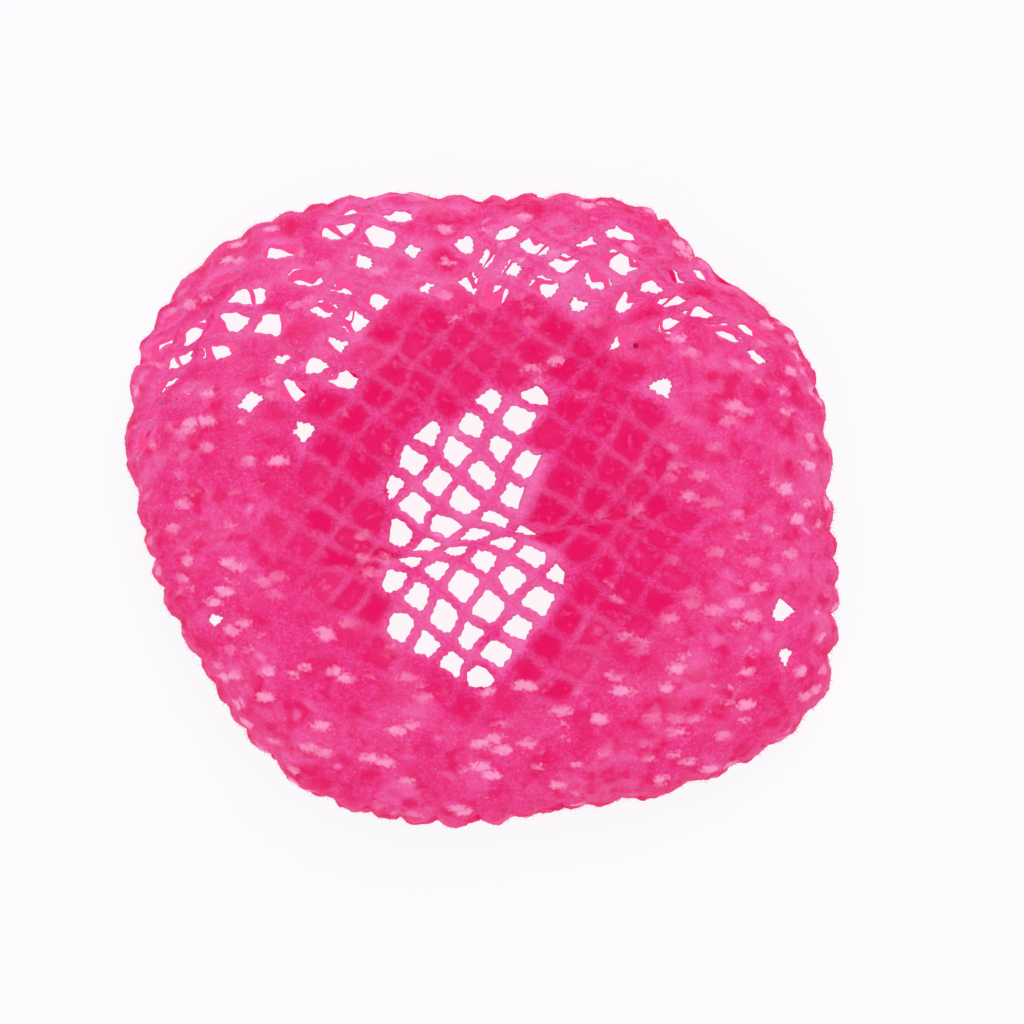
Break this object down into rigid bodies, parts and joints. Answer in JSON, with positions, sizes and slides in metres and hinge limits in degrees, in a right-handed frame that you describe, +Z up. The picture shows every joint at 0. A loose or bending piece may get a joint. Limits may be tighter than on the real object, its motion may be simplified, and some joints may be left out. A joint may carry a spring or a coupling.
{
  "type": "hair bun cover",
  "caption": "Slack knitted net bag gathered onto a loop of elastic, lying mouth down; it slips over a hair bun and holds it.",
  "frame": {"origin": "on the table under the middle of the bag's outline from above", "axes": "+X to the right and +Y away from the viewer as the picture shows it from above, +Z up through the crown"},
  "size_m": [0.1063, 0.0943, 0.0259],
  "materials": {
    "net_yarn": "soft matt pink yarn knitted as an open net, a little fuzzy, deeper pink where layers overlap",
    "elastic_cord": "braided pink covering over round rubber elastic, matt"
  },
  "bodies": {
    "root": {"net_bag": "net_yarn", "elastic_loop": "elastic_cord"}
  },
  "joints": []
}
